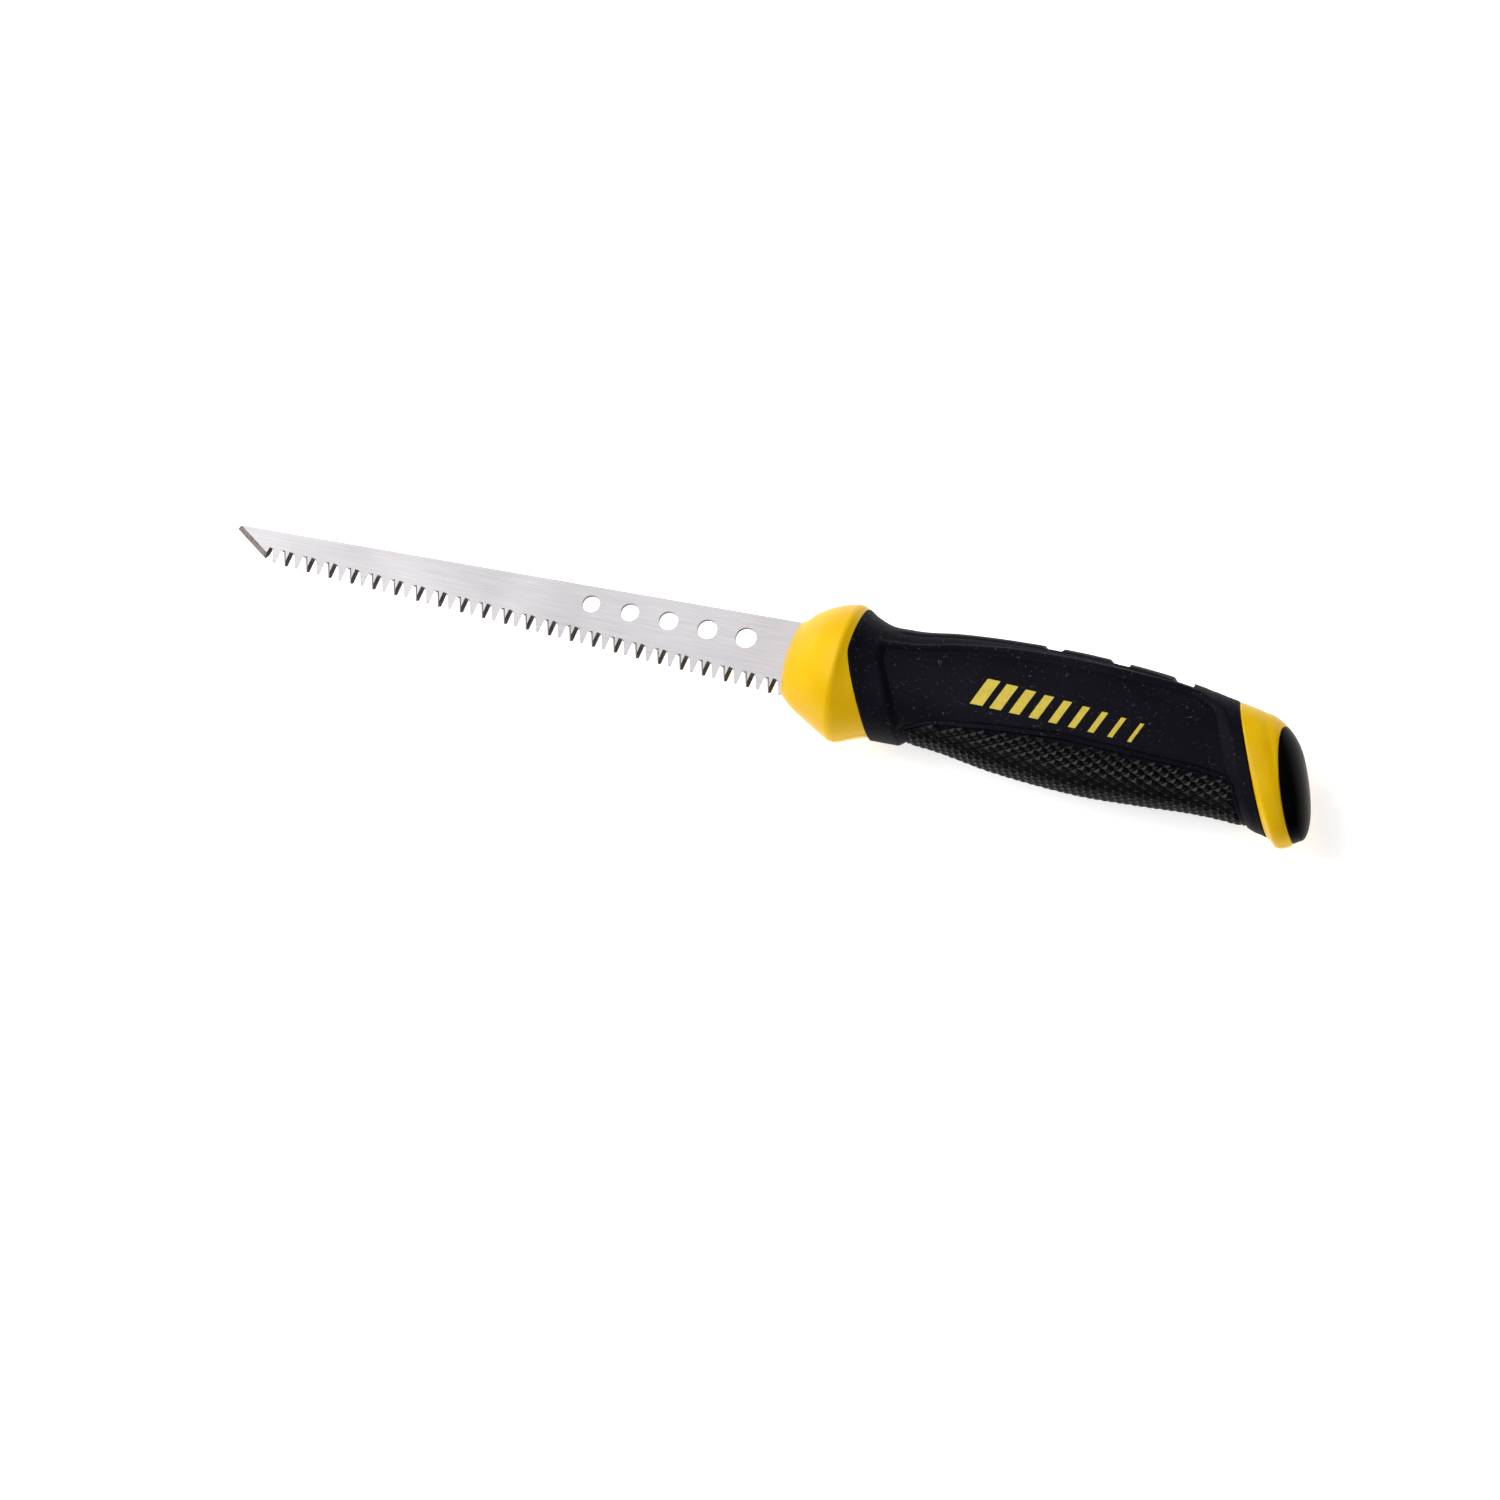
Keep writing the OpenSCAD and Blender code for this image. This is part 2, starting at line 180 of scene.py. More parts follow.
def overmouldRubber(name, look):
    v = look
    material, tree, shader, place = newMaterial(name, {
        "Roughness": v["roughness"], "Specular IOR Level": v["shine"],
        "Base Color": linearColour(v["colour"])})
    cloud = addNode(tree, "ShaderNodeTexNoise", {"Scale": 60, "Detail": 4, "Roughness": 0.6},
                    {"Vector": place})
    base = rampOf(tree, cloud.outputs[0], [(0.4, linearColour(v["colour"])),
                                           (0.75, linearColour(v["worn"]))])
    speck = addNode(tree, "ShaderNodeTexVoronoi", {"Scale": 1000 / v["speck"], "Randomness": 1.0},
                    {"Vector": place})
    where = addNode(tree, "ShaderNodeTexNoise", {"Scale": 90, "Detail": 1}, {"Vector": place})
    size = addNode(tree, "ShaderNodeMapRange", {"From Min": 0.46, "From Max": 0.72, "To Min": 0.0,
                   "To Max": 0.13}, {"Value": where.outputs[0]})
    spot = addNode(tree, "ShaderNodeMath", {"operation": "LESS_THAN"},
                   {0: speck.outputs["Distance"], 1: size.outputs[0]})
    curl = addNode(tree, "ShaderNodeTexNoise", {"Scale": 480, "Detail": 0.5}, {"Vector": place})
    thin = addNode(tree, "ShaderNodeMath", {"operation": "COMPARE", 1: 0.5, 2: v["hair"]},
                   {0: curl.outputs[0]})
    pieces = addNode(tree, "ShaderNodeTexNoise", {"Scale": 900, "Detail": 0}, {"Vector": place})
    short = addNode(tree, "ShaderNodeMath", {"operation": "GREATER_THAN", 1: 0.63},
                    {0: pieces.outputs[0]})
    hair = addNode(tree, "ShaderNodeMath", {"operation": "MULTIPLY"},
                   {0: thin.outputs[0], 1: short.outputs[0]})
    dirt = addNode(tree, "ShaderNodeMath", {"operation": "MAXIMUM"},
                   {0: spot.outputs[0], 1: hair.outputs[0]})
    dusty = addNode(tree, "ShaderNodeMix", {"data_type": "RGBA"}, {"Factor": dirt.outputs[0], 6: base})
    dusty.inputs[7].default_value = linearColour(v["dust"])
    tree.links.new(dusty.outputs[2], shader.inputs["Base Color"])
    grain = addNode(tree, "ShaderNodeTexNoise", {"Scale": 1000 / v["grain"], "Detail": 2},
                    {"Vector": place})
    rough = addNode(tree, "ShaderNodeMapRange", {"To Min": v["roughness"] - 0.06,
                    "To Max": v["roughness"] + 0.12}, {"Value": cloud.outputs[0]})
    tree.links.new(rough.outputs[0], shader.inputs["Roughness"])
    bump = addNode(tree, "ShaderNodeBump", {"Strength": 0.25, "Distance": 0.00006},
                   {"Height": grain.outputs[0]})
    tree.links.new(bump.outputs[0], shader.inputs["Normal"])
    return material


# The same rubber: on the knurl glossier, with a blacker base colour that is painted shade of the grooves
# between the diamonds; on the pad polished in the mould, blacker and glossier
knurlShadeLook = {"colour": "#030306", "worn": "#07070B", "dust": "#3A383E", "roughness": 0.28, "shine": 0.18,
             "grain": 0.2, "speck": 1.6, "hair": 0.002}
padLook = {"colour": "#010103", "worn": "#050407", "dust": "#1C1A1E", "roughness": 0.3, "shine": 0.03,
           "grain": 0.3, "speck": 2.6, "hair": 0.002}

# Pad printing ink: a thin matte yellow film, a little uneven at its edges
inkLook = {"colour": "#E6CC3A", "deep": "#DBC132", "roughness": 0.5}


def padInk():
    v = inkLook
    material, tree, shader, place = newMaterial("padPrintInkYellow", {
        "Roughness": v["roughness"], "Base Color": linearColour(v["colour"])})
    cloud = addNode(tree, "ShaderNodeTexNoise", {"Scale": 700, "Detail": 3}, {"Vector": place})
    colour = rampOf(tree, cloud.outputs[0], [(0.35, linearColour(v["deep"])),
                                             (0.6, linearColour(v["colour"]))])
    tree.links.new(colour, shader.inputs["Base Color"])
    return material


steel = rolledSteel()
# teeth and tip steel: base colours painted dark for their reflections and shade
groundPaintedDark = groundSteelPaintedDark("springSteelGroundTeethPaintedDark", toothPaintedDarkLook)
groundTipPaintedDark = groundSteelPaintedDark("springSteelGroundTipPaintedDark", tipPaintedDarkLook)
yellow = mouldedAbs()
rubber = overmouldRubber("tprMouldedBlack", sleeveLook)
# the knurl's blacker base colour is painted shade between the diamonds
knurl = overmouldRubber("tprKnurledPaintedShade", knurlShadeLook)
polished = overmouldRubber("tprPolishedBlack", padLook)
ink = padInk()
print("materials made")

# ---- the handle's skin ----
# Sections: place, top, bottom, half width, power of the rounded outline
noseRows = np.array([
    [0, 7.8, -13.4, 2.2, 2.6], [0.6, 8.1, -14, 4, 2.4], [2, 8.8, -15.2, 6.6, 2.2],
    [4, 10.9, -16.6, 9, 2.1], [8, 13.4, -18.8, 12.6, 2], [12, 15, -21, 15, 1.95],
    [15.7, 15.9, -22.9, 16.7, 1.9]])
gripRows = np.array([
    [15.7, 15.9, -22.9, 16.7, 1.9], [17.5, 14.9, -22.7, 15.6, 1.92], [20, 13.3, -21.5, 14.6, 1.95],
    [23, 12.2, -20.1, 13.9, 2], [26, 11.6, -19.1, 13.4, 2.1], [30, 11.3, -18.8, 13.2, 2.2],
    [35, 11.5, -18.6, 13.1, 2.3], [45, 13, -19.2, 13.4, 2.4], [60, 14.2, -21.4, 13.9, 2.5],
    [80, 15, -22.6, 14.1, 2.5], [95, 14.9, -21.8, 13.9, 2.5], [110, 14.3, -20.8, 13.3, 2.4],
    [122, 13.1, -21.2, 12.4, 2.3], [130.3, 12, -23.1, 12.1, 2.2], [131.8, 11.7, -25.05, 12.2, 2.2],
    [135.5, 11.1, -24.2, 12, 2.2], [138, 10.5, -22.4, 11.3, 2.2]])
rimRows = np.array([[17, 0.42], [27, 0.48], [40, 0.56], [47, 0.62], [59, 0.7], [71, 0.74], [94, 0.76],
                    [105, 0.77], [117, 0.8], [122, 0.76], [125, 0.69], [131, 0.6]])
textureRows = np.array([[17, -0.95], [27, -0.91], [40, -0.74], [51, -0.64], [60, -0.54], [73, -0.44],
                        [80, -0.41], [91, -0.44], [109, -0.49], [123, -0.49], [131, -0.5]])
handle = {"ridge": 15.7, "sleeveFront": 17.7, "sleeveRear": 130.3, "capStart": 138.0, "capLength": 8.0,
          "wall": 3.0, "lean": 0.508, "leanStart": 35, "leanLength": 90, "frontSlant": 0.42,
          "frontTop": 0.3, "ringTilt": 0.55, "padEdge": 140.5, "padTilt": 3.1, "padBow": 1.6,
          "padLift": 0.66, "padSoft": 0.06}


def ease(a):
    b = np.clip(a, 0, 1)
    return b * b * (3 - 2 * b)


def curveAt(rows, t, column=1):
    t = np.asarray(t, float)
    keys, values = rows[:, 0], rows[:, column]
    last = len(keys) - 1
    low = np.maximum(np.arange(last + 1) - 1, 0)
    high = np.minimum(np.arange(last + 1) + 1, last)
    slopes = (values[high] - values[low]) / (keys[high] - keys[low])
    i = np.clip(np.searchsorted(keys, t, side="right") - 1, 0, last - 1)
    span = keys[i + 1] - keys[i]
    f = np.clip((t - keys[i]) / span, 0, 1)
    f2, f3 = f * f, f * f * f
    return (values[i] * (2 * f3 - 3 * f2 + 1) + slopes[i] * span * (f3 - 2 * f2 + f)
            + values[i + 1] * (3 * f2 - 2 * f3) + slopes[i + 1] * span * (f3 - f2))


def sectionAt(t):
    t = np.asarray(t, float)
    front = [curveAt(noseRows, np.minimum(t, handle["ridge"]), c) for c in (1, 2, 3, 4)]
    back = [curveAt(gripRows, np.clip(t, handle["ridge"], handle["capStart"]), c) for c in (1, 2, 3, 4)]
    top, bottom, half, power = [np.where(t < handle["ridge"], a, b) for a, b in zip(front, back)]
    s = np.sqrt(np.maximum(0, 1 - ((t - handle["capStart"]) / handle["capLength"]) ** 2))
    s = np.where(t > handle["capStart"], s, 1.0)
    onCap = t > handle["capStart"]
    mid = np.where(onCap, 0.9 - 6.85 * s, (top + bottom) / 2)
    tall = np.where(onCap, (gripRows[-1, 1] - gripRows[-1, 2]) / 2 * s, (top - bottom) / 2)
    return mid, tall, half * s, power


def leanAt(t):
    return handle["lean"] * ease((t - handle["leanStart"]) / handle["leanLength"])


def skin(t, angle, up=0.0):
    # a point of the handle at place t and an angle round the section, raised by up
    t, angle, up = np.broadcast_arrays(np.asarray(t, float), np.asarray(angle, float), np.asarray(up, float))
    mid, tall, half, power = sectionAt(t)
    c, s = np.cos(angle), np.sin(angle)
    k = (np.abs(c) ** power + np.abs(s) ** power + 1e-12) ** (-1 / power)
    v = k * s
    y = mid + (tall + up) * v
    dome = 1.5 * (1 - np.clip(t / 8, 0, 1)) ** 2 * (1 - v * v)
    return np.stack([t - leanAt(t) * (y + 3) - dome, y, (half + up) * k * c], -1)


def angleOf(t, v):
    power = sectionAt(t)[3]
    v = np.asarray(v, float)
    rest = np.maximum(1 - np.abs(v) ** power, 1e-9) ** (1 / power)
    return np.arctan2(v, rest)


def frontShift(angle):
    y = skin(20.0, angle)[..., 1]
    slack = np.sqrt((y + 2) ** 2 + 1.2) / 2 - (y + 2) / 2
    return handle["frontSlant"] * slack - handle["frontTop"] * ease((y - 8) / 8)


def frontFade(t):
    # the slant of the sleeve's front edge fades out along the grip
    return 1 - ease((t - 26.9) / 33)


def ringPlace(angle):
    return handle["sleeveRear"] + handle["ringTilt"] * np.sin(angle)


def sleevePlace(t, angle):
    rearShift = (ringPlace(angle) - handle["sleeveRear"]) * ease((t - 125) / 5)
    return t + frontShift(angle) * frontFade(t) + rearShift


def padPlace(angle):
    v = handle
    s = np.sin(angle)
    bow = v["padBow"] * np.sqrt(np.cos(angle) ** 2 + v["padSoft"])
    return v["padEdge"] + v["padTilt"] * s - bow + v["padLift"] * np.maximum(0, s) ** 2


def spaced(stops):
    # values through (end, count) stops, evenly inside each stretch
    out = [stops[0][0]]
    for (a, _), (b, n) in zip(stops, stops[1:]):
        out += list(a + (b - a) * np.arange(1, n + 1) / n)
    return np.array(out)


def gridFaces(rings, width, closed):
    k, j = np.meshgrid(np.arange(rings - 1), np.arange(width if closed else width - 1), indexing="ij")
    j2 = (j + 1) % width
    return np.stack([k * width + j, k * width + j2, (k + 1) * width + j2, (k + 1) * width + j],
                    -1).reshape(-1, 4)


def makePiece(name, vertices, faces, materials, smooth=60):
    mesh = bpy.data.meshes.new(name)
    mesh.from_pydata([tuple(p) for p in toFrame(vertices)], [], [tuple(f) for f in faces])
    work = bmesh.new()
    work.from_mesh(mesh)
    bmesh.ops.remove_doubles(work, verts=work.verts, dist=1e-6)
    bmesh.ops.recalc_face_normals(work, faces=work.faces)
    work.to_mesh(mesh)
    work.free()
    for material in materials:
        mesh.materials.append(material)
    piece = bpy.data.objects.new(name, mesh)
    bpy.context.scene.collection.objects.link(piece)
    if smooth:
        mesh.shade_smooth()
        mesh.set_sharp_from_angle(angle=math.radians(smooth))
    return piece


def settle(piece, slotName, *nodes):
    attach(piece, "root")
    if nodes:
        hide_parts(*nodes)
    return piece


# ---- blade: the CAD plate with each face given its own material; the steep faces take steel painted dark for their reflections and shade ----
bladeLook = {"flatFrom": 0.995, "tipFrom": 0.75, "sharpAngle": 20}


def makeBlade():
    v = bladeLook
    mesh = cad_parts["blade"].data.copy()
    mesh.name = "bladePlate"
    work = bmesh.new()
    work.from_mesh(mesh)
    bmesh.ops.remove_doubles(work, verts=work.verts, dist=1e-6)
    work.to_mesh(mesh)
    work.free()
    mesh.materials.clear()
    for material in (steel, groundPaintedDark, groundTipPaintedDark):
        mesh.materials.append(material)
    # flat faces keep bare steel; the tip bevel and all steeper faces (teeth, edges, hole walls) take steel
    # painted dark for reflection and shade
    for face in mesh.polygons:
        up = abs(face.normal.z)
        face.material_index = 0 if up > v["flatFrom"] else 2 if up > v["tipFrom"] else 1
    mesh.shade_smooth()
    mesh.set_sharp_from_angle(angle=math.radians(v["sharpAngle"]))
    piece = bpy.data.objects.new("bladePlate", mesh)
    bpy.context.scene.collection.objects.link(piece)
    return settle(piece, "blade_steel", "blade")


makeBlade()
print("blade made")

# ---- hard core: two halves that meet at a fine parting line ----
coreLook = {"around": 96, "partingDepth": 0.22, "partingWidth": 0.4, "radius": 18, "noseEnd": 18}


def makeCore(name, side, node):
    v = coreLook
    angles = spaced([(-math.pi / 2, 0), (-math.pi / 2 + 0.03, 3), (math.pi / 2 - 0.03, v["around"]),
                     (math.pi / 2, 3)])
    edge = np.minimum(np.abs(angles - math.pi / 2), np.abs(angles + math.pi / 2)) * v["radius"]
    parting = -v["partingDepth"] * (1 - ease(edge / v["partingWidth"]))
    rows = [skin(0.0, angles, -2.2) * [1, 1, 0] + [0.9, 0, 0]]
    nose = spaced([(0, 0), (0.6, 4), (2, 5), (8, 12), (15.0, 14), (16.3, 8), (v["noseEnd"], 4)])
    span = v["noseEnd"] - handle["ridge"]
    for t in nose:
        if t <= handle["ridge"]:
            place = np.full(angles.shape, t)
        else:
            part = (t - handle["ridge"]) / span
            place = handle["ridge"] + (sleevePlace(handle["sleeveFront"], angles) - handle["ridge"]) * part
        ridgeGap = np.abs(place - handle["ridge"])
        soften = -0.22 * np.maximum(0, 1 - ridgeGap / 0.8) ** 2
        rows.append(skin(place, angles, parting + soften))
    under = np.linspace(handle["sleeveFront"], handle["sleeveRear"], 12)
    for t in under:
        rows.append(skin(sleevePlace(t, angles), angles, -handle["wall"] - 0.05))
    for f in spaced([(0, 0), (0.06, 2), (0.94, 22), (1, 2)]):
        t = ringPlace(angles) + (padPlace(angles) - ringPlace(angles)) * f
        rim = -0.04 - 0.3 * max(0, 1 - f / 0.05) ** 2 - 0.25 * max(0, (f - 0.95) / 0.05) ** 2
        rows.append(skin(t, angles, parting * 0.6 + rim))
    rim = skin(padPlace(angles), angles)
    for r, deep in ((0.8, 0.0), (0.76, 4.0)):
        rows.append(np.stack([rim[:, 0] - deep, -6 + (rim[:, 1] + 6) * r, rim[:, 2] * r], -1))
    rows.append(np.stack([np.full(len(angles), 139.0), -6 + (rim[:, 1] + 6) * 0.4, rim[:, 2] * 0.0], -1))
    points = np.array(rows)
    if side < 0:
        points = points * [1, 1, -1]
    width = len(angles)
    faces = [tuple(f) for f in gridFaces(len(rows), width, False)]
    # the flat parting face closes the half from bottom line to top line
    for k in range(len(rows) - 1):
        faces.append((k * width, (k + 1) * width, (k + 1) * width + width - 1, k * width + width - 1))
    piece = makePiece(name, points.reshape(-1, 3), faces, [yellow], 38)
    return settle(piece, "yellow_plastic", node)


makeCore("coreHalfSeen", 1, "core_left")
makeCore("coreHalfBack", -1, "core_right")
print("core halves made")

# ---- grip sleeve ----
sleeve = {"panelDepth": 1.3, "panelFront": 25.0, "panelSlant": 1.0, "panelRear": 127.0, "corner": 2.5,
          "fillet": 1.5, "grooveDepth": 1.0, "grooveHalf": 2.2, "grooves": (70.4, 89, 106.6),
          "padHalf": 8.2, "padHeight": 0.3, "textureDepth": 0.6, "textureFront": 28.0,
          "textureRear": 124.3, "textureCorner": 2.2, "arcScale": 15}


def roundedInside(distances, radius):
    # distance inside a corner whose sides are rounded by the radius
    out = distances[0]
    for d in distances[1:]:
        a, b = np.maximum(radius - out, 0), np.maximum(radius - d, 0)
        out = np.where((out < radius) & (d < radius), radius - np.hypot(a, b), np.minimum(out, d))
    return out


def sideTurn(angle):
    # the angle above or below the middle of whichever side it is on
    turn = np.where(np.cos(angle) >= 0, angle, math.pi - angle)
    return np.where(turn > math.pi / 2, math.pi - turn, turn)


def textureEdge(t, angle):
    low = angleOf(t, curveAt(textureRows, t))
    return roundedInside([(low - sideTurn(angle)) * sleeve["arcScale"], t - sleeve["textureFront"],
                          sleeve["textureRear"] - t], sleeve["textureCorner"])


def sleeveUp(t, angle):
    v = sleeve
    s = np.sin(angle)
    turn = sideTurn(angle)
    point = skin(t, angle)
    rim = angleOf(t, curveAt(rimRows, t))
    start = np.clip((t - handle["sleeveFront"]) / 1.1, 0, 1)
    up = (0.3 + 0.7 * np.maximum(0, -s) ** 2) * np.sqrt(start * (2 - start)) * (1 - ease((t - 120) / 9))
    # side panel: a wide fillet in front, a tight one above, a soft fade behind
    front = t - v["panelFront"] - v["panelSlant"] * ease((2 - point[..., 1]) / 8)
    rear = v["panelRear"] - t
    inside = roundedInside([(rim - turn) * v["arcScale"], front, rear * 0.7], v["corner"])
    width = v["fillet"] + 1.1 * (1 - ease((front - 1) / 4)) + 2.0 * (1 - ease((rear - 1) / 8))
    up = up - v["panelDepth"] * ease((inside + 0.2) / width)
    # thumb pads along the top, parted by grooves
    x = t - leanAt(t) * 18
    aside = np.abs(point[..., 2])
    onTop = s > 0
    groove = np.max([1 - ease((np.abs(x - c) - v["grooveHalf"]) / 0.7) for c in v["grooves"]], axis=0)
    groove = np.where(onTop, groove * (1 - ease((aside - v["padHalf"] + 0.6) / 0.9)), 0)
    pad = (1 - ease((aside - v["padHalf"]) / 0.6)) * ease((t - 26) / 5) * (1 - ease((t - 121) / 4))
    strip = ease((t - 21) / 5) * (1 - ease((t - 121) / 4)) * ease((turn - rim) * v["arcScale"] / 1.5)
    up = up - v["grooveDepth"] * groove - v["padHeight"] * strip * np.where(onTop, 1 - pad, 0)
    # the diamonds' floor, inside a dark border groove and a thin bead
    edge = textureEdge(t, angle)
    up = up - 0.4 * np.exp(-((edge - 0.1) / 0.3) ** 2) + 0.1 * np.exp(-((edge - 0.75) / 0.2) ** 2)
    up = up - v["textureDepth"] * ease((edge - 0.9) / 0.45)
    # rounded end against the butt ring
    return up - 0.35 * np.clip((t - 129.6) / 0.7, 0, 1) ** 2


def sleeveAt(x, angle):
    # a point of the sleeve at true length x and the sleeve's own place there
    t = x
    for _ in range(8):
        t = x + leanAt(t) * (skin(t, angle)[..., 1] + 3)
    place = t
    for _ in range(8):
        place = t - frontShift(angle) * frontFade(place)
    return t, place


def sleeveAngles(t):
    # lines that follow the rim and the texture's edge, bottom to top and back down the far side
    rim = float(angleOf(t, curveAt(rimRows, t)))
    low = float(angleOf(t, curveAt(textureRows, t)))
    q = math.pi / 2
    half = spaced([(-q, 0), (low - 0.14, 22), (low + 0.05, 18), (rim - 0.14, 20), (rim + 0.1, 18),
                   (q, 30)])
    return np.concatenate([half, (math.pi - half)[::-1][1:-1]])


def makeSleeve():
    places = spaced([(handle["sleeveFront"], 0), (19.2, 8), (25, 12), (31.5, 40), (66, 70), (116, 190),
                     (122.5, 16), (125, 16), (129.3, 14), (130.25, 5)])
    rows = []
    for t in places:
        a = sleeveAngles(t)
        rows.append(skin(sleevePlace(t, a), a, sleeveUp(t, a)))
    for t in (130.25, 118, 100, 75, 50, 30, handle["sleeveFront"]):
        a = sleeveAngles(t)
        rows.append(skin(sleevePlace(t, a), a, 0.05 - handle["wall"]))
    rows.append(rows[0])
    width = len(rows[0])
    piece = makePiece("gripSleeve", np.array(rows).reshape(-1, 3),
                      gridFaces(len(rows), width, True), [rubber], 50)
    return settle(piece, "sleeve_rubber", "grip_sleeve")


makeSleeve()
print("sleeve made")

# ---- diamond knurl on the sleeve's belly ----
diamonds = {"length": 4.2, "width": 2.6, "height": 0.65, "flat": 0.12, "fill": 0.95, "sink": 0.1,
            "margin": 1.9}


def diamondTree():
    tree = bpy.data.node_groups.new("beltOfDiamonds", "GeometryNodeTree")
    face = tree.interface
    face.new_socket("Geometry", in_out="INPUT", socket_type="NodeSocketGeometry")
    for label in ("Length", "Width", "Height", "Flat top"):
        face.new_socket(label, in_out="INPUT", socket_type="NodeSocketFloat")
    face.new_socket("Finish", in_out="INPUT", socket_type="NodeSocketMaterial")
    face.new_socket("Geometry", in_out="OUTPUT", socket_type="NodeSocketGeometry")
    inputs = addNode(tree, "NodeGroupInput").outputs
    cone = addNode(tree, "GeometryNodeMeshCone", {"Vertices": 4, "Radius Bottom": 0.5, "Depth": 1.0,
                   "fill_type": "NGON"}, {"Radius Top": inputs["Flat top"]})
    size = addNode(tree, "ShaderNodeCombineXYZ", links={"X": inputs["Length"], "Y": inputs["Width"],
                                                        "Z": inputs["Height"]})
    outward, along = [addNode(tree, "GeometryNodeInputNamedAttribute",
                              {"data_type": "FLOAT_VECTOR", "Name": label})
                      for label in ("outward", "along")]
    turn = addNode(tree, "FunctionNodeAxesToRotation", {"primary_axis": "Z", "secondary_axis": "X"},
                   {0: outward.outputs["Attribute"], 1: along.outputs["Attribute"]})
    placed = addNode(tree, "GeometryNodeInstanceOnPoints", links={
        "Points": inputs["Geometry"], "Instance": cone.outputs["Mesh"],
        "Rotation": turn.outputs[0], "Scale": size.outputs[0]})
    real = addNode(tree, "GeometryNodeRealizeInstances", links={0: placed.outputs[0]})
    finish = addNode(tree, "GeometryNodeSetMaterial", links={"Geometry": real.outputs[0],
                                                            "Material": inputs["Finish"]})
    addNode(tree, "NodeGroupOutput", links={"Geometry": finish.outputs[0]})
    return tree


def makeDiamonds():
    v = diamonds
    row, column = np.meshgrid(np.arange(-30, 31), np.arange(0, 27), indexing="ij")
    row, column = row.ravel(), column.ravel()
    x = 26 + (column + (row % 2) / 2) * v["length"]
    arc = np.abs(row) * v["width"] / 2
    fine = np.linspace(-math.pi / 2, 0.1, 160)
    angle = np.full(x.shape, -math.pi / 2)
    for _ in range(5):
        t, place = sleeveAt(x, angle)
        line = skin(t[:, None], fine[None, :])[..., 1:]
        steps = np.linalg.norm(np.diff(line, axis=1), axis=2)
        run = np.concatenate([np.zeros((len(x), 1)), np.cumsum(steps, axis=1)], axis=1)
        angle = np.array([np.interp(a, r, fine) for a, r in zip(arc, run)])
    keep = (arc < run[:, -1]) & (textureEdge(place, angle) > v["margin"])
    t, place, row = t[keep], place[keep], row[keep]
    angle = np.where(row < 0, math.pi - angle[keep], angle[keep])
    up = sleeveUp(place, angle)
    here, ahead, above = skin(t, angle, up), skin(t + 0.2, angle, up), skin(t, angle + 0.01, up)
    out = np.cross(ahead - here, above - here)
    out /= np.linalg.norm(out, axis=1, keepdims=True)
    away = here * [0, 1, 1] + [0, 4, 0]
    out *= np.sign(np.sum(out * away, axis=1, keepdims=True))
    along = np.array([1.0, 0, 0]) - out * out[:, :1]
    along /= np.linalg.norm(along, axis=1, keepdims=True)
    points = here + out * (v["height"] / 2 - v["sink"])
    mesh = bpy.data.meshes.new("diamondSeeds")
    mesh.from_pydata([tuple(p) for p in toFrame(points)], [], [])
    for label, values in (("outward", out), ("along", along)):
        data = mesh.attributes.new(label, "FLOAT_VECTOR", "POINT")
        data.data.foreach_set("vector", values.ravel())
    seeds = bpy.data.objects.new("diamondSeeds", mesh)
    bpy.context.scene.collection.objects.link(seeds)
    tree = diamondTree()
    modifier = seeds.modifiers.new("diamonds", "NODES")
    modifier.node_group = tree
    fill = v["fill"] / 1000
    sizes = {"Length": v["length"] * fill, "Width": v["width"] * fill, "Height": v["height"] / 1000,
             "Flat top": v["flat"], "Finish": knurl}
    for item in tree.interface.items_tree:
        if item.in_out == "INPUT" and item.name in sizes:
            modifier[item.identifier] = sizes[item.name]
    bpy.context.view_layer.update()
    plain = bpy.data.meshes.new_from_object(seeds.evaluated_get(bpy.context.evaluated_depsgraph_get()))
    bpy.data.objects.remove(seeds)
    plain.name = "gripDiamonds"
    piece = bpy.data.objects.new("gripDiamonds", plain)
    bpy.context.scene.collection.objects.link(piece)
    print("diamonds:", len(points))
    return settle(piece, "sleeve_rubber")


makeDiamonds()

# ---- butt pad ----
padShape = {"around": 160, "plug": ((0.75, 3.95), (0.79, -0.05)), "edgeSize": 0.985, "edgeRound": 0.2}


def makePad():
    v = padShape
    angles = np.linspace(0, 2 * math.pi, v["around"] + 1)[:-1]
    rim = skin(padPlace(angles), angles)
    rows = [np.stack([rim[:, 0] * 0 + 139.05, rim[:, 1] * 0 - 6, rim[:, 2] * 0], -1)]
    for r, deep in v["plug"]:
        rows.append(np.stack([rim[:, 0] - deep, -6 + (rim[:, 1] + 6) * r, rim[:, 2] * r], -1))
    edge = v["edgeSize"]
    rows.append(np.stack([rim[:, 0] + 0.05, -6 + (rim[:, 1] + 6) * edge, rim[:, 2] * edge], -1))
    start = np.sqrt(1 - ((padPlace(angles) - handle["capStart"]) / handle["capLength"]) ** 2)
    for f in spaced([(0.995, 0), (0.94, 8), (0.8, 10), (0.0, 24)]):
        s = start * f
        t = handle["capStart"] + handle["capLength"] * np.sqrt(1 - s * s)
        rounding = -v["edgeRound"] * max(0.0, (f - 0.94) / 0.055) ** 2
        rows.append(skin(t, angles, rounding) - [0.02, 0, 0])
    piece = makePiece("buttPad", np.array(rows).reshape(-1, 3),
                      gridFaces(len(rows), len(angles), True), [polished], 50)
    return settle(piece, "pad_rubber", "butt_pad")


makePad()
print("pad made")

# ---- printed bars on the seen panel, a plain pattern ----
bars = {"count": 9, "start": 54.0, "pitch": 5.6, "widest": 3.6, "narrowest": 1.1, "low": -8.2,
        "high": -0.4, "slant": 0.38, "film": 0.06, "sunk": -0.1, "droop": 0.045}


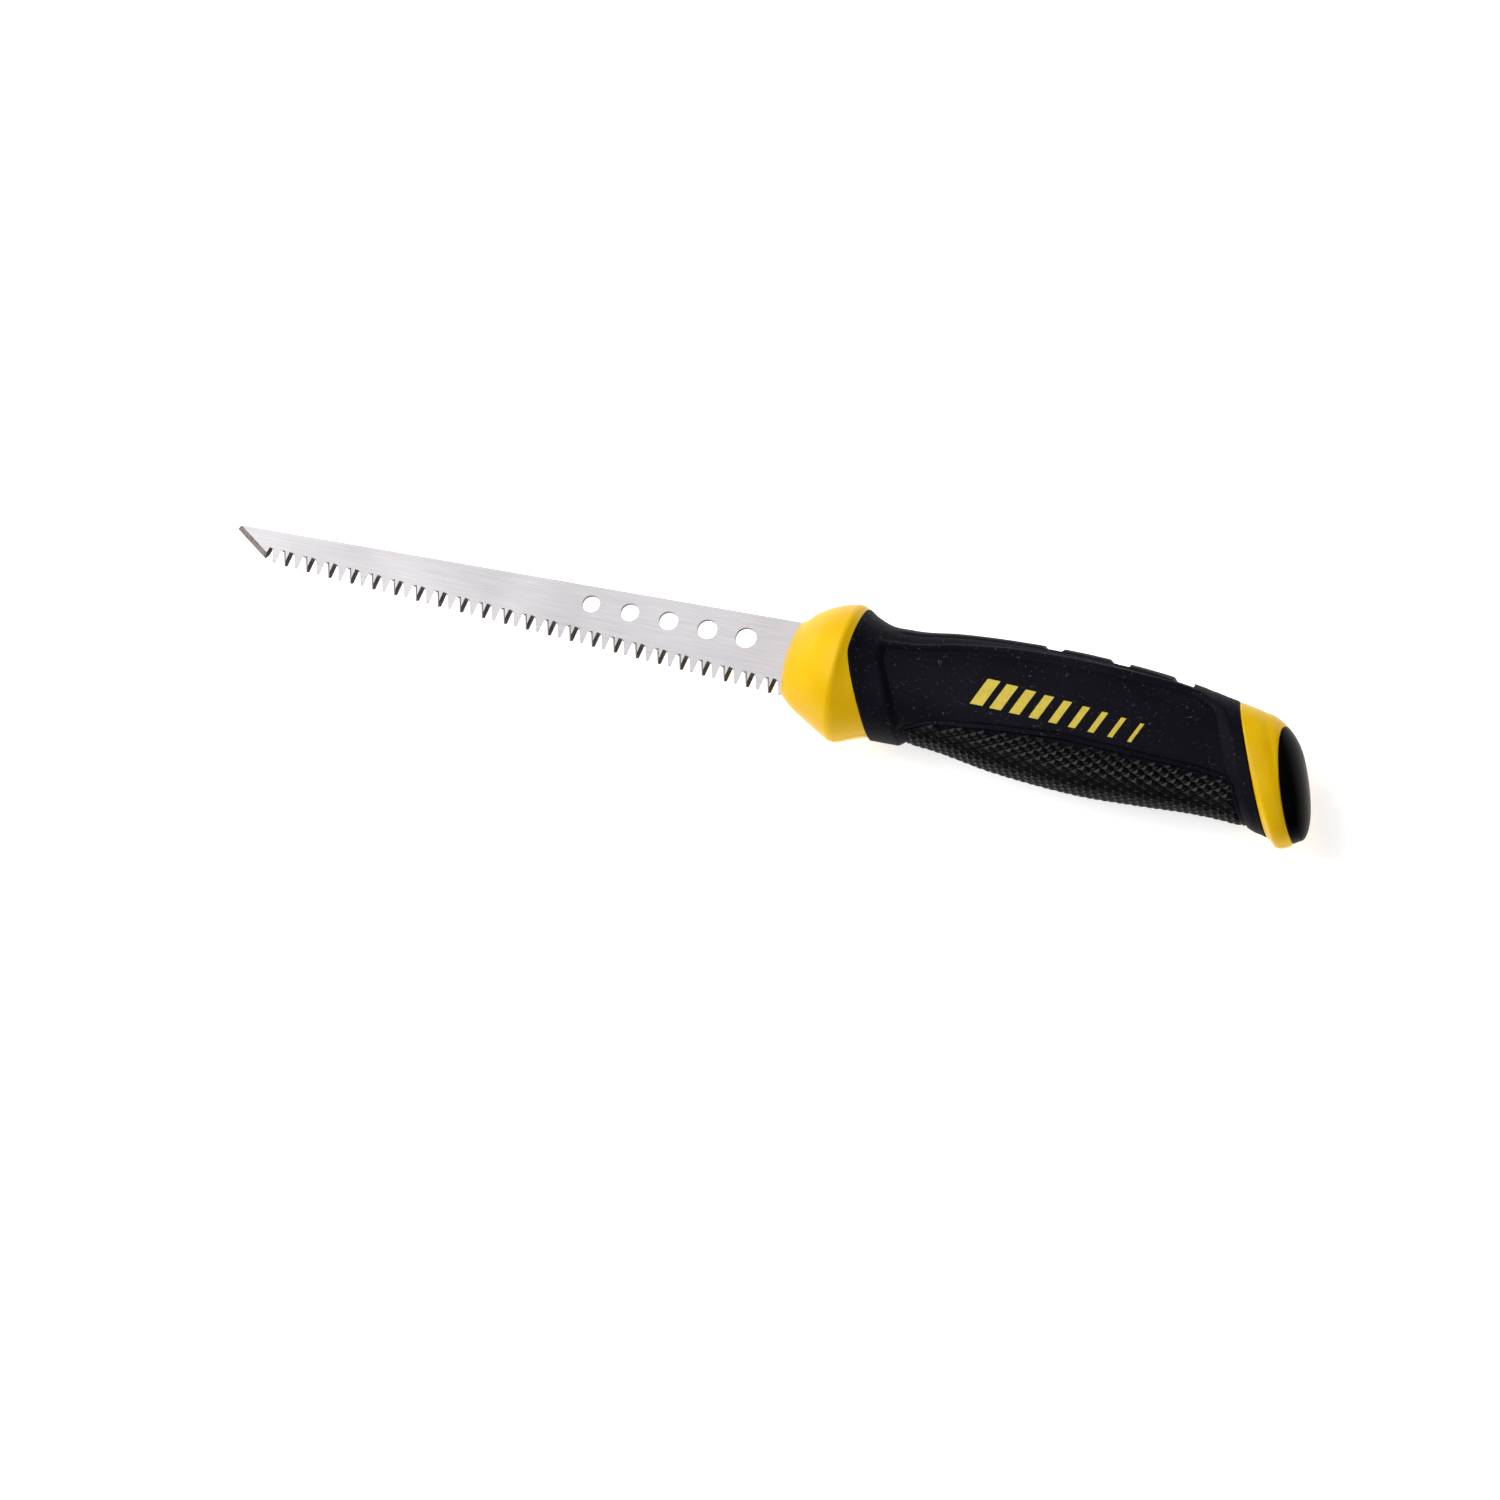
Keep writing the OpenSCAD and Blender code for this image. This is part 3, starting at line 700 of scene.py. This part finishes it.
def panelHeight(x, y):
    t = x.copy()
    for _ in range(12):
        t = x + leanAt(t) * (y + 3)
    mid, tall, half, power = sectionAt(t)
    up = 0.3 - sleeve["panelDepth"]
    v = np.clip((y - mid) / (tall + up), -0.999, 0.999)
    angle = angleOf(t, v)
    exact = sleeveUp(t, angle)
    return (half + exact) * (1 - np.abs(v) ** power) ** (1 / power)


def makeBars():
    v = bars
    vertices, faces = [], []
    for k in range(v["count"]):
        f = k / (v["count"] - 1)
        width = v["widest"] + (v["narrowest"] - v["widest"]) * f
        low, high = v["low"] + 1.0 * f, v["high"] - 1.0 * f
        across, tall = np.meshgrid(np.linspace(0, 1, 5), np.linspace(0, 1, 13))
        y = low + (high - low) * tall - v["droop"] * (k * v["pitch"])
        x = v["start"] + k * v["pitch"] + width * across + v["slant"] * (high - low) * tall
        z = panelHeight(x, y)
        base = len(vertices)
        for lift in (v["film"], v["sunk"]):
            vertices += list(np.stack([x, y, z + lift], -1).reshape(-1, 3))
        n, m = x.shape
        top = gridFaces(n, m, False) + base
        bottom = (top + n * m)[:, ::-1]
        faces += [tuple(q) for q in top] + [tuple(q) for q in bottom]
        loop = ([j for j in range(m)] + [i * m + m - 1 for i in range(1, n)]
                + [(n - 1) * m + j for j in range(m - 2, -1, -1)] + [i * m for i in range(n - 2, 0, -1)])
        for a, b in zip(loop, loop[1:] + loop[:1]):
            faces.append((base + a, base + b, base + b + n * m, base + a + n * m))
    piece = makePiece("panelBars", vertices, faces, [ink], 40)
    return settle(piece, "yellow_plastic")


makeBars()
print("bars made")

for name in ("tang_pin_front", "tang_pin_middle", "tang_pin_rear"):
    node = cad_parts[name]
    for slotItem in node.material_slots:
        slotItem.material = steel

# ---- studio: pale floor, soft lights, camera ----
studio = {"floor": "#FFFFFF", "floorHalf": 12, "glow": 0.7, "key": 26.5, "fill": 1.0, "rim": 0.15,
          "world": 0.2}


def makeStudio():
    v = studio
    floorMesh = bpy.data.meshes.new("floor")
    half = v["floorHalf"]
    floorMesh.from_pydata([(-half, -half, 0), (half, -half, 0), (half, half, 0), (-half, half, 0)], [],
                          [(0, 1, 2, 3)])
    floor = bpy.data.objects.new("floor", floorMesh)
    bpy.context.scene.collection.objects.link(floor)
    material, tree, shader, place = newMaterial("paperBackdrop", {
        "Base Color": linearColour(v["floor"]), "Roughness": 0.9, "Specular IOR Level": 0.2,
        "Emission Color": (1, 1, 1, 1), "Emission Strength": v["glow"]})
    floorMesh.materials.append(material)
    world = bpy.data.worlds.new("studioWorld")
    bpy.context.scene.world = world
    world.use_nodes = True
    world.node_tree.nodes["Background"].inputs["Color"].default_value = (1, 1, 1, 1)
    world.node_tree.nodes["Background"].inputs["Strength"].default_value = v["world"]
    spots = [("key", (-1.0, 0.25, 1.25), 1.5, v["key"]), ("fill", (0.6, -0.7, 1.3), 0.8, v["fill"]),
             ("rim", (0.1, 1.4, 0.7), 0.9, v["rim"])]
    for name, where, size, power in spots:
        light = bpy.data.lights.new(name, "AREA")
        light.size = size
        light.energy = power
        lamp = bpy.data.objects.new(name, light)
        bpy.context.scene.collection.objects.link(lamp)
        lamp.matrix_world = (Matrix.Translation(where)
                             @ Vector(where).to_track_quat("Z", "Y").to_matrix().to_4x4())


makeStudio()

view = {"right": (0.9469, 0.2747, -0.1671), "up": (-0.2082, 0.9199, 0.3324), "frameMm": 404.3,
        "asideMm": 1.0, "belowMm": 30.05, "distance": 10.0}


def makeCamera():
    v = view
    right, up = Vector(v["right"]).normalized(), Vector(v["up"])
    up = (up - right * up.dot(right)).normalized()
    back = right.cross(up)
    hole = Vector(toFrame([-14, 0, 0]))
    # the last hole stands a little left of and well above the middle of the frame
    target = hole + right * (v["asideMm"] / 1000) - up * (v["belowMm"] / 1000)
    data = bpy.data.cameras.new("camera")
    data.sensor_width = 36
    data.lens = 36 * v["distance"] / (v["frameMm"] / 1000)
    data.clip_end = 100
    camera = bpy.data.objects.new("camera", data)
    bpy.context.scene.collection.objects.link(camera)
    turn = Matrix((right, up, back)).transposed().to_4x4()
    camera.matrix_world = Matrix.Translation(target + back * v["distance"]) @ turn
    bpy.context.scene.camera = camera
    bpy.context.scene.view_settings.view_transform = "Standard"


makeCamera()
print("studio made")
